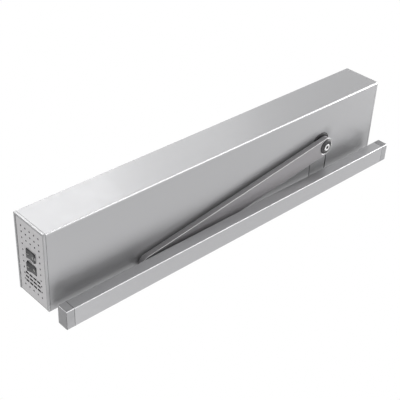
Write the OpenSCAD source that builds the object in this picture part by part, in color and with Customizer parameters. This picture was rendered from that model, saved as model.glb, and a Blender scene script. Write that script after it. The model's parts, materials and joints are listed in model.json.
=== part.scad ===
// Automatic swing door operator with a slide rail, in its place on the wall above a door.
// X runs along the wall, Y towards the wall, Z up. The origin is the middle of the four
// wall fixing holes, on the wall plane. The spindle points down and carries the arm.

/* [Casing] */
// Length of the operator with both end caps
op_len = 685; // [670:5:760]
// Height of the operator
op_h = 70; // [70:1:76]
// Depth from the wall to the front
op_depth = 130; // [128:1:145]
// Sheet thickness of the cover
cover_wall = 1.5; // [1.2:0.1:2]
// Outer radius of the two long front edges
edge_r = 2.2; // [1.8:0.1:3]
// Thickness of the steel back plate
plate_t = 3; // [2.5:0.5:4]
// Width of an end cap's rim outside the cover
rim_w = 3; // [2.5:0.5:4]
// Face width of the rim round an end panel
rim_face = 3; // [2.5:0.5:4]
// Depth by which an end panel lies inside its rim
panel_inset = 0.7; // [0.4:0.1:1]
// Thickness of an end panel
panel_t = 1.2; // [1:0.1:2]
// Length of the spigot that an end cap pushes into the cover
spigot_len = 7; // [5:1:10]
// Wall of an end cap's spigot
spigot_wall = 2; // [1.5:0.5:3]

/* [Wall fixing] */
// Distance between the fixing holes along the wall
fix_x = 620; // [560:10:640]
// Distance between the fixing holes up the wall
fix_z = 40; // [30:1:46]
// Diameter of a fixing hole
fix_d = 6.5; // [5.5:0.5:7]
// Width of the cable inlet
inlet_w = 60; // [40:5:80]
// Height of the cable inlet
inlet_h = 30; // [20:1:36]
// Distance of the cable inlet's middle from the left end
inlet_x = 200; // [190:5:230]

/* [End panel] */
// Pitch of the vent hole grid
vent_pitch = 10; // [9:0.5:10]
// Diameter of a vent hole
vent_d = 2.8; // [2:0.1:3.5]
// Length of a grille slot
slot_l = 7.4; // [6:0.1:8]
// Width of a grille slot
slot_w = 3.2; // [2:0.1:4]
// Length of a rocker
rocker_l = 21.5; // [20:0.5:24]
// Width of a rocker
rocker_w = 14.5; // [12:0.5:16]
// Turn of the mains rocker from one end to the other
mains_turn = 16; // [10:1:18]

/* [Spindle and arm] */
// Distance of the spindle from the right end
spindle_from_right = 138.4; // [136:0.2:145]
// Distance of the spindle from the wall
spindle_d = 60; // [58:1:64]
// Radius of the spindle below the gears
spindle_r = 10; // [9:0.5:11]
// Distance from the spindle to the pin at the arm's end
arm_len = 383.8; // [360:0.2:420]
// Angle between the closed arm and the wall
arm_angle = 8; // [6:0.1:10]
// Thickness of the arm
arm_t = 9.3; // [8:0.1:10]
// Radius of the arm's hub
arm_hub_r = 16; // [15:0.5:18]
// Radius of the arm's far end
arm_tip_r = 14.6; // [12:0.1:15]
// Gap between the underside and the arm
arm_gap = 4; // [3:0.5:5]
// Width of the slot in the underside
slot_width = 40.4; // [38:0.2:42]
// Side of the spindle's square end
square_side = 13; // [12:0.5:14]
// Radius of the arm's pin
pin_r = 4; // [3.5:0.5:5]

/* [Slide rail] */
// Length of the rail with its caps
rail_len = 686; // [640:1:720]
// Height of the rail's section
rail_h = 20; // [19:0.5:22]
// Depth of the rail's section
rail_d = 31.5; // [30:0.5:34]
// Wall of the rail
rail_wall = 2.2; // [2:0.1:3]
// Width of the slot that the pin runs in
rail_slot = 12; // [11:0.5:14]
// Length of a rail cap
rail_cap_l = 13; // [12:0.5:16]
// Length of an end block inside the rail
end_block_l = 20; // [15:1:30]
// Gap between the arm and the rail
rail_gap = 3.7; // [3.4:0.1:5]
// Distance of the rail's left end from the operator's left end
rail_start = 3.4; // [0:0.2:6]
// Length of the slide block
block_l = 40; // [30:1:50]
// Diameter of the screw hole in an end block
rail_hole_d = 5.5; // [4.5:0.5:6]

/* [Gears] */
// Teeth of each pinion
pinion_teeth = 12; // [12:1:14]
// Teeth of the first gear, on the motor pinion
first_teeth = 48; // [44:4:48]
// Module of the first pair
first_module = 1; // [0.9:0.05:1]
// Teeth of the second gear
second_teeth = 60; // [54:6:60]
// Module of the second pair
second_module = 1.25; // [1.2:0.05:1.25]
// Teeth of the drive gear on the spindle
drive_teeth = 60; // [54:6:60]
// Module of the drive gear
drive_module = 1.5; // [1.4:0.05:1.5]
// Teeth of the pinion that winds the closing spring
spring_teeth = 12; // [12:1:13]
// Module of the rack and its pinion
rack_module = 2; // [1.9:0.05:2]
// Thickness of the first gear
first_t = 5; // [4:0.5:5]
// Thickness of the second gear
second_t = 6; // [5:0.5:6]
// Thickness of the drive gear
drive_t = 9; // [8:0.5:9]

/* [Drive case] */
// Height of the base plate above the underside
base_up = 8; // [7:0.5:8]
// Thickness of the base plate and of the top plate
case_t = 4; // [3:0.5:4]
// Thickness of the motor plate
motor_plate_t = 3.5; // [3:0.5:4]
// Outer radius of the motor
motor_r = 30; // [26:1:30]
// Radius of a case post
post_r = 4; // [3:0.5:4.5]
// Room between the top plate and the top of the casing
plate_room = 9; // [8:0.5:10]
// Room between the motor and the top of the casing
motor_room = 9; // [8:0.5:10]

/* [Closing spring] */
// Middle radius of the closing spring
spring_r = 15.5; // [14:0.5:16]
// Diameter of the spring wire
wire_d = 4.2; // [3.5:0.1:4.4]
// Turns of the closing spring
spring_turns = 7; // [6:1:7]
// Length of the closing spring with the door closed
spring_len = 60; // [60:1:61]

/* [Clearances] */
// Radial clearance of a shaft in its bearing
run_gap = 0.05; // [0.03:0.01:0.08]
// Gap between fixed pieces that fit into each other
fit_gap = 0.3; // [0.2:0.05:0.4]
// Gap on each side of a gear on its shaft
seat_gap = 0.02; // [0.01:0.01:0.05]
// Thinning of each tooth flank for backlash
backlash = 0.07; // [0.05:0.01:0.1]

/* [Hidden] */
$fn = 48;
through = 1;

// Colours, as the photograph shows them
silver = [0.74, 0.74, 0.75];
arm_grey = [0.6, 0.59, 0.6];
dark = [0.16, 0.155, 0.165];
steel = [0.62, 0.63, 0.65];
zinc = [0.72, 0.73, 0.72];
brass = [0.76, 0.62, 0.32];
board_green = [0.1, 0.36, 0.22];

// Places along X
left_x = -op_len / 2;
right_x = op_len / 2;
spindle_x = right_x - spindle_from_right;
drive_centres = (drive_teeth + pinion_teeth) * drive_module / 2;
second_centres = (second_teeth + pinion_teeth) * second_module / 2;
first_centres = (first_teeth + pinion_teeth) * first_module / 2;
second_x = spindle_x - drive_centres;
first_x = second_x - second_centres;
motor_x = first_x - first_centres;

// Heights, from the underside upwards
under_z = -op_h / 2;
base_z = under_z + base_up;
base_top_z = base_z + case_t;
lift = 1;
first_z = base_top_z + lift;
second_z = first_z + first_t + lift;
drive_z = second_z + second_t + lift;
rack_z = drive_z + drive_t + 2 * lift;
top_z = op_h / 2 - plate_room - case_t;
rack_t = top_z - 2 * lift - rack_z;
rack_mid_z = rack_z + rack_t / 2;
motor_plate_z = second_z + second_t + 1.5 * lift;
motor_z = motor_plate_z + motor_plate_t;
motor_len = op_h / 2 - motor_room - motor_z;

// Casing
cover_x0 = left_x + rim_w;
cover_x1 = right_x - rim_w;
plate_x0 = cover_x0 + spigot_len + fit_gap;
plate_x1 = cover_x1 - spigot_len - fit_gap;
plate_edge_gap = cover_wall + fit_gap;
panel_x = left_x + panel_inset;

// Tooth form: 25 degree pressure angle with short teeth
pressure = 25;
addendum = 0.8;
dedendum = 1.05;
flank_steps = 5;

// Arm and rail
arm_top_z = under_z - arm_gap;
arm_bottom_z = arm_top_z - arm_t;
tip_x = spindle_x - arm_len * cos(arm_angle);
tip_y = -spindle_d + arm_len * sin(arm_angle);
rail_top_z = arm_bottom_z - rail_gap;
rail_x0 = left_x + rail_start;
rail_x1 = rail_x0 + rail_len;
rail_mid_y = tip_y;
washer_r = 12.5;
washer_t = 2;
screw_head_r = 6;
screw_proud = 2.8;
recess_depth = 1.2;
washer_sunk = 0.8;

// Rack and spring
rack_travel_deg = 120;
rack_pitch_r = rack_module * spring_teeth / 2;
rack_pitch = PI * rack_module;
rack_travel = rack_pitch_r * rack_travel_deg * PI / 180;
rack_depth = 12;
rack_y = -spindle_d - rack_pitch_r;
rack_back_y = rack_y - rack_depth;
rack_x0 = spindle_x - rack_travel - 2.5 * rack_pitch;
rack_x1 = spindle_x + 2.5 * rack_pitch;
cup_r = spring_r + wire_d / 2 + 0.5;
cup_t = 4;
drive_tip_r = drive_module * (drive_teeth / 2 + addendum);
cup_x = spindle_x + drive_tip_r + 2.5;
spring_x0 = cup_x + cup_t + fit_gap;
spring_x1 = spring_x0 + spring_len;
bracket_x = spring_x1 + fit_gap;
bracket_t = 4;

// Cylinder along Y that starts at y and runs towards the front
module bore_y(r, len) {
    rotate([90, 0, 0]) cylinder(r = r, h = len);
}

// Angle by which an involute has turned at a given pressure angle
function involute(a) = tan(a) * 180 / PI - a;

// Half of a tooth's angle at radius r
function half_tooth(m, n, r) =
    let (base_r = m * n / 2 * cos(pressure))
    90 / n - backlash / (m * n / 2) * 180 / PI + involute(pressure)
    - (r > base_r ? involute(acos(base_r / r)) : 0);

// Points up one flank of a tooth, from its root to its tip
function flank(m, n, side, turn) =
    let (root = m * (n / 2 - dedendum),
         start = max(root, m * n / 2 * cos(pressure)),
         tip = m * (n / 2 + addendum))
    concat(
        [let (a = turn + side * half_tooth(m, n, start)) root * [cos(a), sin(a)]],
        [for (i = [0:flank_steps])
            let (r = start + (tip - start) * i / flank_steps,
                 a = turn + side * half_tooth(m, n, r))
            r * [cos(a), sin(a)]]);

function backwards(list) = [for (i = [len(list) - 1:-1:0]) list[i]];

// Outline of a spur gear with a tooth at angle turn
function gear_outline(m, n, turn) = [
    for (i = [0:n - 1])
        let (a = turn + i * 360 / n)
        each concat(flank(m, n, -1, a), backwards(flank(m, n, 1, a)))
];

// Spur gear with a six-sided bore for its shaft
module gear(m, n, turn, thick, seat_r) {
    linear_extrude(height = thick)
        difference() {
            polygon(gear_outline(m, n, turn));
            circle(r = seat_r + seat_gap, $fn = 6);
        }
}

// Turn of a gear so that it meets a neighbour which has a tooth pointing at it
function meshed(n, toward) = toward + 180 / n;

// Outline of the casing across its length: the two front edges are round
module casing_outline() {
    d = op_depth - edge_r;
    translate([-d, -op_h / 2]) square([d, op_h]);
    translate([-op_depth, -op_h / 2 + edge_r]) square([op_depth, op_h - 2 * edge_r]);
    for (side = [-1, 1]) translate([-d, side * (op_h / 2 - edge_r)]) circle(r = edge_r);
}

// Rectangle across the operator, drawn in by an inset on every side but the wall's
module inner_outline(inset, wall_side = 0) {
    translate([-op_depth + inset, -op_h / 2 + inset])
        square([op_depth - inset - wall_side, op_h - 2 * inset]);
}

// Stands an outline drawn in Y and Z upright and gives it a length along X
module across(x, len) {
    translate([x, 0, 0]) rotate([90, 0, 90]) linear_extrude(height = len) children();
}

// Screw with a hexagon socket: its head stands on the origin, its shank goes down
module screw(shank_r, shank_l, head_r, head_h, key_r) {
    difference() {
        union() {
            cylinder(r = head_r, h = head_h);
            translate([0, 0, -shank_l]) cylinder(r = shank_r, h = shank_l + through / 2);
        }
        translate([0, 0, head_h * 0.45]) cylinder(r = key_r, h = head_h, $fn = 6);
    }
}

// Box between two corners
module block(low, high) {
    translate(low) cube(high - low);
}

// Places of the wall fixing holes
module fixing_places() {
    for (x = [-fix_x / 2, fix_x / 2], z = [-fix_z / 2, fix_z / 2])
        translate([x, 0, z]) children();
}

// Screws of the drive case through its flanges into the back plate
flange_before_second = 22;
flange_past_spindle = 30;
flange_x = [second_x - flange_before_second, spindle_x + flange_past_spindle];
flange_w = 16;
flange_h = 15;
flange_screw_r = 2.5;
module flange_places() {
    for (x = flange_x) {
        translate([x, -plate_t, base_top_z + flange_h / 2]) children();
        translate([x, -plate_t, top_z - flange_h / 2]) children();
    }
}

// Screws that hold the end caps to the back plate
lug_w = 16;
lug_l = 10;
lug_t = 3;
lug_screw_r = 2;
module lug_places() {
    for (x = [plate_x0 + lug_l / 2, plate_x1 - lug_l / 2]) translate([x, -plate_t, 0]) children();
}

// Feet of the control tray on the back plate
tray_gap = 6;
tray_l = 160;
tray_room = 2.5;
supply_from_left = 30;
supply_l = 110;
supply_x0 = left_x + supply_from_left;
supply_x1 = supply_x0 + supply_l;
tray_x0 = supply_x1 + tray_gap;
tray_x1 = tray_x0 + tray_l;
tray_h = op_h - 2 * (cover_wall + tray_room);
tray_t = 2.5;
tray_y = -78;
tray_rim = 5;
foot_r = 3.5;
foot_inset = 7;
foot_screw_r = 1.5;
module tray_foot_places(y) {
    for (x = [tray_x0 + foot_inset, tray_x1 - foot_inset], z = [-1, 1])
        translate([x, y, z * (tray_h / 2 - foot_inset)]) children();
}

// Steel plate that is screwed to the wall and carries everything else
module back_plate() {
    color(zinc) difference() {
        across(plate_x0, plate_x1 - plate_x0)
            translate([-plate_t, -op_h / 2 + plate_edge_gap])
                square([plate_t, op_h - 2 * plate_edge_gap]);
        fixing_places() translate([0, through, 0]) bore_y(fix_d / 2, plate_t + 2 * through);
        flange_places() translate([0, plate_t + through, 0])
            bore_y(flange_screw_r + seat_gap, plate_t + 2 * through);
        lug_places() translate([0, plate_t + through, 0])
            bore_y(lug_screw_r + seat_gap, plate_t + 2 * through);
        tray_foot_places(through) bore_y(foot_screw_r + seat_gap, plate_t + 2 * through);
        cable_inlet();
    }
}

// Rounded hole in the back plate for the mains and control cables
inlet_r = 6;
module cable_inlet() {
    translate([left_x + inlet_x, through, 0]) rotate([90, 0, 0])
        linear_extrude(height = plate_t + 2 * through) {
            square([inlet_w - 2 * inlet_r, inlet_h], center = true);
            square([inlet_w, inlet_h - 2 * inlet_r], center = true);
            for (x = [-1, 1], z = [-1, 1])
                translate([x * (inlet_w / 2 - inlet_r), z * (inlet_h / 2 - inlet_r)])
                    circle(r = inlet_r);
        }
}

// Sheet cover with a slot that lets it slide over the spindle
module cover() {
    color(silver) difference() {
        across(cover_x0, cover_x1 - cover_x0) difference() {
            casing_outline();
            inner_outline(cover_wall, -through);
        }
        translate([spindle_x, -spindle_d, under_z - through]) {
            cylinder(r = slot_width / 2, h = cover_wall + 2 * through);
            translate([-slot_width / 2, 0, 0])
                cube([slot_width, spindle_d + through, cover_wall + 2 * through]);
        }
    }
}

// Ring that fits inside the cover's end
module spigot(x) {
    outer = cover_wall + fit_gap;
    across(x, spigot_len) difference() {
        inner_outline(outer);
        inner_outline(outer + spigot_wall, plate_t + lug_t);
    }
}

// Lug inside an end cap, on the back plate
module cap_lug(x) {
    difference() {
        translate([x, -plate_t - lug_t, -lug_w / 2]) cube([lug_l, lug_t, lug_w]);
        lug_places() translate([0, through, 0])
            bore_y(lug_screw_r + fit_gap, lug_t + 2 * through);
    }
}

// Frame of the switch end: a rim, a ledge behind the panel, and the spigot
ledge_w = 2.5;
module left_end_cap() {
    ledge_x = panel_x + panel_t;
    color(silver) {
        difference() {
            across(left_x, rim_w) casing_outline();
            across(left_x - through, rim_w + 2 * through) inner_outline(rim_face, -through);
        }
        across(ledge_x, cover_x0 + lift - ledge_x) difference() {
            inner_outline(cover_wall + fit_gap);
            inner_outline(rim_face + ledge_w, ledge_w);
        }
        spigot(cover_x0);
        cap_lug(cover_x0 + spigot_len - through / 2);
    }
}

// Places on the end panel: across is the height, along is the distance from the wall
panel_rows = [11.5, 10.5, 9.5, 1.5];
panel_side_rows = [2.5:1:8.5];
switch_mid_up = 35.5;
program_d = 75.5;
mains_d = 54;
grille_d = 31.4;
grille_row_pitch = 7;
grille_slot_pitch = 9.2;
grille_rows = 3;
grille_slots = 4;

module panel_hole(up, d) {
    translate([panel_x - through, -d, under_z + up]) rotate([0, 90, 0])
        cylinder(r = vent_d / 2, h = panel_t + 2 * through, $fn = 24);
}

module rocker_window(d) {
    translate([panel_x - through, -d - rocker_w / 2 - fit_gap,
               under_z + switch_mid_up - rocker_l / 2 - fit_gap])
        cube([panel_t + 2 * through, rocker_w + 2 * fit_gap, rocker_l + 2 * fit_gap]);
}

// Perforated sheet in the switch end
module vent_panel() {
    panel_fit = 0.15;
    color(silver) difference() {
        across(panel_x, panel_t) inner_outline(rim_face + panel_fit, panel_fit);
        for (row = panel_rows, col = [-2:2]) panel_hole(op_h / 2 + col * vent_pitch,
                                                        row * vent_pitch);
        for (row = panel_side_rows, col = [-2, 2]) panel_hole(op_h / 2 + col * vent_pitch,
                                                              row * vent_pitch);
        for (row = [0:grille_rows - 1], col = [0:grille_slots - 1])
            translate([panel_x - through,
                       -grille_d + (row - (grille_rows - 1) / 2) * grille_row_pitch - slot_w / 2,
                       (col - (grille_slots - 1) / 2) * grille_slot_pitch - slot_l / 2])
                cube([panel_t + 2 * through, slot_w, slot_l]);
        rocker_window(program_d);
        rocker_window(mains_d);
    }
}

// Plain cap of the other end
module right_end_cap() {
    color(silver) {
        difference() {
            across(cover_x1, rim_w) casing_outline();
            across(right_x - panel_inset, panel_inset + through)
                inner_outline(rim_face, -through);
        }
        spigot(cover_x1 - spigot_len);
        cap_lug(cover_x1 - spigot_len - lug_l + through / 2);
    }
}

// Grey piece that closes the cover's slot behind the spindle
insert_gap = 1.4;
insert_t = 1.2;
surround_r = slot_width / 2 - fit_gap;
boss_below = 5;
surround_top = base_z - boss_below;
module slot_insert() {
    w = slot_width - 2 * insert_gap;
    flange = 4;
    color(zinc) difference() {
        union() {
            translate([spindle_x - w / 2, -spindle_d, under_z + fit_gap])
                cube([w, spindle_d, surround_top - under_z - fit_gap - lift / 2]);
            translate([spindle_x - w / 2 - flange, -spindle_d, under_z + cover_wall + fit_gap])
                cube([w + 2 * flange, spindle_d - plate_t, insert_t]);
        }
        translate([spindle_x, -spindle_d, under_z - through])
            cylinder(r = surround_r + fit_gap, h = base_up);
        translate([spindle_x - slot_width, -plate_t, under_z + cover_wall + fit_gap / 2])
            cube([2 * slot_width, plate_t + through, base_up]);
    }
}

// Black ring round the spindle, in the round end of the slot
surround_proud = 1.2;
surround_slope = 1.5;
surround_edge = 1;
spindle_neck_r = spindle_r + 2;
surround_hole_r = spindle_neck_r + 2 * fit_gap;
module spindle_surround() {
    color(dark) translate([spindle_x, -spindle_d, 0]) rotate_extrude()
        polygon([
            [surround_hole_r, under_z - surround_proud + surround_edge],
            [surround_hole_r + surround_edge, under_z - surround_proud],
            [surround_r - surround_slope, under_z - surround_proud],
            [surround_r, under_z + surround_slope - surround_proud],
            [surround_r, surround_top],
            [surround_hole_r, surround_top]
        ]);
}

// Places of the posts between the base plate and the top plate
case_back_d = 14;
case_front_d = 110;
case_edge = 8;
case_y0 = -case_front_d - case_edge;
case_before_second = 30;
case_past_spindle = 44;
case_x0 = second_x - case_before_second;
case_x1 = spindle_x + case_past_spindle;
post_in_left = 7.4;
post_in_right = 8.6;
module tall_post_places() {
    for (x = [case_x0 + post_in_left, case_x1 - post_in_right], d = [case_back_d, case_front_d])
        translate([x, -d, 0]) children();
}

// Places of the short posts under the motor plate
motor_plate_x0 = motor_x - motor_r - 2;
motor_plate_x1 = second_x - 14;
motor_plate_w = 80;
short_post_r = 3;
short_post_in = [7, 16.6];
short_post_side = [9, 4];
module short_post_places() {
    for (side = [-1, 1]) {
        translate([motor_plate_x0 + short_post_in[0],
                   -spindle_d + side * (motor_plate_w / 2 - short_post_side[0]), 0]) children();
        translate([motor_plate_x1 - short_post_in[1],
                   -spindle_d + side * (motor_plate_w / 2 - short_post_side[1]), 0]) children();
    }
}

// Flange that stands on a plate of the drive case and lies on the back plate
module case_flange(z) {
    difference() {
        for (x = flange_x)
            translate([x - flange_w / 2, -plate_t - lug_t, z])
                cube([flange_w, lug_t, flange_h]);
        flange_places() translate([0, through, 0])
            bore_y(flange_screw_r + fit_gap, lug_t + 2 * through);
    }
}

bearing_r = spindle_r + 6;
top_journal_r = 6;
top_bearing_r = top_journal_r + 5;
second_r = 4;
first_r = 3;
bush_wall = 2;
post_screw_r = 2;
module gear_base_plate() {
    boss_r = bearing_r + 4;
    color(steel) difference() {
        union() {
            block([motor_plate_x0, case_y0, base_z], [case_x1, -plate_t, base_top_z]);
            translate([spindle_x, -spindle_d, surround_top])
                cylinder(r = boss_r, h = base_top_z - surround_top);
            case_flange(base_top_z);
        }
        translate([spindle_x, -spindle_d, surround_top - through])
            cylinder(r = bearing_r + seat_gap, h = base_up + case_t + 2 * through);
        translate([second_x, -spindle_d, base_z - through])
            cylinder(r = second_r + bush_wall + seat_gap, h = case_t + 2 * through);
        translate([first_x, -spindle_d, base_z - through])
            cylinder(r = first_r + bush_wall + seat_gap, h = case_t + 2 * through);
    }
}

module motor_plate() {
    color(steel) difference() {
        translate([motor_plate_x0, -spindle_d - motor_plate_w / 2, motor_plate_z])
            cube([motor_plate_x1 - motor_plate_x0, motor_plate_w, motor_plate_t]);
        translate([first_x, -spindle_d, motor_plate_z - through])
            cylinder(r = first_r + bush_wall + seat_gap, h = motor_plate_t + 2 * through);
        translate([motor_x, -spindle_d, motor_plate_z - through])
            cylinder(r = motor_shaft_r + 3, h = motor_plate_t + 2 * through);
        short_post_places() translate([0, 0, motor_plate_z - through])
            cylinder(r = post_screw_r + seat_gap, h = motor_plate_t + 2 * through);
    }
}

module gear_top_plate() {
    color(steel) difference() {
        union() {
            block([case_x0, case_y0, top_z], [case_x1, -plate_t, top_z + case_t]);
            case_flange(top_z - flange_h);
        }
        translate([spindle_x, -spindle_d, top_z - through])
            cylinder(r = top_bearing_r + seat_gap, h = case_t + 2 * through);
        translate([second_x, -spindle_d, top_z - through])
            cylinder(r = second_r + bush_wall + seat_gap, h = case_t + 2 * through);
        tall_post_places() translate([0, 0, top_z - through])
            cylinder(r = post_screw_r + seat_gap, h = case_t + 2 * through);
    }
}

module case_posts() {
    color(zinc) {
        tall_post_places() difference() {
            translate([0, 0, base_top_z]) cylinder(r = post_r, h = top_z - base_top_z);
            translate([0, 0, top_z - 12]) cylinder(r = post_screw_r + seat_gap, h = 12 + through);
        }
        short_post_places() difference() {
            translate([0, 0, base_top_z])
                cylinder(r = short_post_r, h = motor_plate_z - base_top_z);
            translate([0, 0, motor_plate_z - 8])
                cylinder(r = post_screw_r + seat_gap, h = 8 + through);
        }
    }
}

// Ball bearing drawn as one ring with a sunk seal on each side
module bearing(inner_r, outer_r, t) {
    race = (outer_r - inner_r) * 0.3;
    sunk = 0.5;
    rotate_extrude() difference() {
        translate([inner_r, 0]) square([outer_r - inner_r, t]);
        for (z = [-through, t - sunk])
            translate([inner_r + race, z])
                square([outer_r - inner_r - 2 * race, sunk + through]);
    }
}

module spindle_bearings() {
    color(steel) translate([spindle_x, -spindle_d, 0]) {
        translate([0, 0, surround_top])
            bearing(spindle_r + run_gap, bearing_r, base_top_z - surround_top);
        translate([0, 0, top_z]) bearing(top_journal_r + run_gap, top_bearing_r, case_t);
    }
}

// Plain bush with a flange under its plate
module bush(shaft_r, z, t) {
    flange_t = 0.6;
    translate([0, 0, z]) difference() {
        union() {
            cylinder(r = shaft_r + bush_wall, h = t);
            translate([0, 0, -flange_t]) cylinder(r = shaft_r + bush_wall + 1.5, h = flange_t);
        }
        translate([0, 0, -through]) cylinder(r = shaft_r + run_gap, h = t + 2 * through);
    }
}

module gear_bearings() {
    color(brass) {
        translate([second_x, -spindle_d, 0]) {
            bush(second_r, base_z, case_t);
            bush(second_r, top_z, case_t);
        }
        translate([first_x, -spindle_d, 0]) {
            bush(first_r, base_z, case_t);
            bush(first_r, motor_plate_z, motor_plate_t);
        }
    }
}

// Motor: a drawn can with magnets, and a rotor that turns in it
motor_wall = 2;
motor_shaft_r = 2.5;
magnet_t = 3;
air_gap = 0.8;
module motor_can() {
    color(dark) translate([motor_x, -spindle_d, motor_z]) difference() {
        cylinder(r = motor_r, h = motor_len);
        translate([0, 0, motor_wall]) cylinder(r = motor_r - motor_wall,
                                               h = motor_len - 2 * motor_wall);
        translate([0, 0, -through]) cylinder(r = motor_shaft_r + run_gap,
                                             h = motor_len + 2 * through);
    }
}

module motor_magnets() {
    magnets = 4;
    span = 74;
    color([0.3, 0.3, 0.32]) translate([motor_x, -spindle_d, motor_z + motor_wall])
        for (i = [0:magnets - 1]) rotate([0, 0, i * 360 / magnets - span / 2])
            rotate_extrude(angle = span)
                translate([motor_r - motor_wall - magnet_t, 0])
                    square([magnet_t, motor_len - 2 * motor_wall]);
}

rotor_r = motor_r - motor_wall - magnet_t - air_gap;
module motor_rotor() {
    slots = 12;
    h = motor_len - 2 * motor_wall - 2 * air_gap;
    color(brass) translate([motor_x, -spindle_d, motor_z + motor_wall + air_gap]) difference() {
        cylinder(r = rotor_r, h = h);
        translate([0, 0, -through]) cylinder(r = motor_shaft_r + seat_gap, h = h + 2 * through);
        for (i = [0:slots - 1]) rotate([0, 0, i * 360 / slots])
            translate([rotor_r - 4, -1.2, -through]) cube([6, 2.4, h + 2 * through]);
    }
}

encoder_z = motor_z + motor_len + 1.5;
encoder_t = 1;
encoder_r = 13;
module motor_shaft() {
    color(steel) translate([motor_x, -spindle_d, 0]) {
        translate([0, 0, first_z - fit_gap]) intersection() {
            cylinder(r = motor_shaft_r, h = first_t + lift + fit_gap);
            cylinder(r = motor_shaft_r, h = first_t + lift + fit_gap, $fn = 6);
        }
        translate([0, 0, first_z + first_t + lift])
            cylinder(r = motor_shaft_r, h = encoder_z + encoder_t + fit_gap
                                            - first_z - first_t - lift);
    }
}

module motor_pinion() {
    color(brass) translate([motor_x, -spindle_d, first_z])
        gear(first_module, pinion_teeth, 0, first_t + lift, motor_shaft_r);
}

// Slotted disc that the encoder reads
module encoder_disc() {
    windows = 16;
    color(dark) translate([motor_x, -spindle_d, encoder_z]) difference() {
        cylinder(r = encoder_r, h = encoder_t);
        translate([0, 0, -through]) {
            cylinder(r = motor_shaft_r + seat_gap, h = encoder_t + 2 * through);
            for (i = [0:windows - 1]) rotate([0, 0, i * 360 / windows])
                translate([encoder_r - 3.5, -0.8, 0]) cube([2.5, 1.6, encoder_t + 2 * through]);
        }
    }
}

module encoder_cover() {
    wall = 1;
    h = encoder_z + encoder_t + 1 + wall - motor_z - motor_len;
    color([0.9, 0.9, 0.88]) translate([motor_x, -spindle_d, motor_z + motor_len]) difference() {
        cylinder(r = encoder_r + 2.5, h = h);
        translate([0, 0, -through]) cylinder(r = encoder_r + 1.5, h = h - wall + through);
    }
}

// Shaft that turns in two bushes, with flats for the wheels between them
module geared_shaft(r, z0, seat_z, seat_top, z1, collar_r) {
    translate([0, 0, z0]) cylinder(r = r, h = seat_z - z0);
    translate([0, 0, base_top_z + fit_gap])
        cylinder(r = collar_r, h = seat_z - base_top_z - fit_gap);
    translate([0, 0, seat_z]) cylinder(r = r, h = seat_top - seat_z, $fn = 6);
    translate([0, 0, seat_top]) cylinder(r = r, h = z1 - seat_top);
}

module first_shaft() {
    color(steel) translate([first_x, -spindle_d, 0])
        geared_shaft(first_r, base_z - lift, first_z, second_z + second_t,
                     motor_z - fit_gap, first_r + 2);
}

module first_gear() {
    color(zinc) translate([first_x, -spindle_d, first_z])
        gear(first_module, first_teeth, meshed(first_teeth, 180), first_t, first_r);
}

module first_pinion() {
    color(brass) translate([first_x, -spindle_d, first_z + first_t])
        gear(second_module, pinion_teeth, 0, second_t + lift, first_r);
}

module second_shaft() {
    color(steel) translate([second_x, -spindle_d, 0])
        geared_shaft(second_r, base_z - lift, second_z, drive_z + drive_t,
                     top_z + case_t, second_r + 2);
}

module second_gear() {
    color(zinc) translate([second_x, -spindle_d, second_z])
        gear(second_module, second_teeth, meshed(second_teeth, 180), second_t, second_r);
}

module second_pinion() {
    color(brass) translate([second_x, -spindle_d, second_z + second_t])
        gear(drive_module, pinion_teeth, 0, drive_t + lift, second_r);
}

// Spindle: a square for the arm, a neck, a journal, and flats for its two wheels
drive_seat_r = spindle_r - 0.1;
spring_seat_r = 7.5;
square_end_z = arm_bottom_z + recess_depth + washer_sunk;
spindle_hole_l = 22;
module spindle() {
    neck_top = surround_top - fit_gap;
    color(steel) translate([spindle_x, -spindle_d, 0]) difference() {
        union() {
            translate([0, 0, square_end_z]) rotate([0, 0, 45 - arm_angle])
                cylinder(r = square_side / sqrt(2), h = arm_top_z - square_end_z, $fn = 4);
            translate([0, 0, arm_top_z]) cylinder(r = spindle_neck_r, h = neck_top - arm_top_z);
            translate([0, 0, neck_top]) cylinder(r = spindle_r, h = drive_z - neck_top);
            translate([0, 0, drive_z]) cylinder(r = drive_seat_r, h = drive_t, $fn = 6);
            translate([0, 0, drive_z + drive_t])
                cylinder(r = spring_seat_r, h = rack_z + rack_t - drive_z - drive_t, $fn = 6);
            translate([0, 0, rack_z + rack_t])
                cylinder(r = top_journal_r, h = top_z + case_t + lift - rack_z - rack_t);
        }
        translate([0, 0, square_end_z - through])
            cylinder(r = arm_screw_r + seat_gap, h = spindle_hole_l + through);
    }
}

module spindle_spacer() {
    color(zinc) translate([spindle_x, -spindle_d, base_top_z + fit_gap]) difference() {
        cylinder(r = spindle_r + 3, h = drive_z - base_top_z - fit_gap);
        translate([0, 0, -through])
            cylinder(r = spindle_r + seat_gap, h = drive_z - base_top_z + 2 * through);
    }
}

module drive_gear() {
    color(zinc) translate([spindle_x, -spindle_d, drive_z])
        gear(drive_module, drive_teeth, meshed(drive_teeth, 180), drive_t, drive_seat_r);
}

module spring_pinion() {
    color(brass) translate([spindle_x, -spindle_d, drive_z + drive_t])
        gear(rack_module, spring_teeth, -90, rack_z + rack_t - drive_z - drive_t,
             spring_seat_r);
}

// Points of one rack tooth round x, from its right foot over its tip to its left foot
function rack_tooth(x) =
    let (half = rack_pitch / 4 - backlash, slope = tan(pressure),
         tip = addendum * rack_module, root = dedendum * rack_module)
    [[x + half + root * slope, rack_y - root], [x + half - tip * slope, rack_y + tip],
     [x - half + tip * slope, rack_y + tip], [x - half - root * slope, rack_y - root]];

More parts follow.
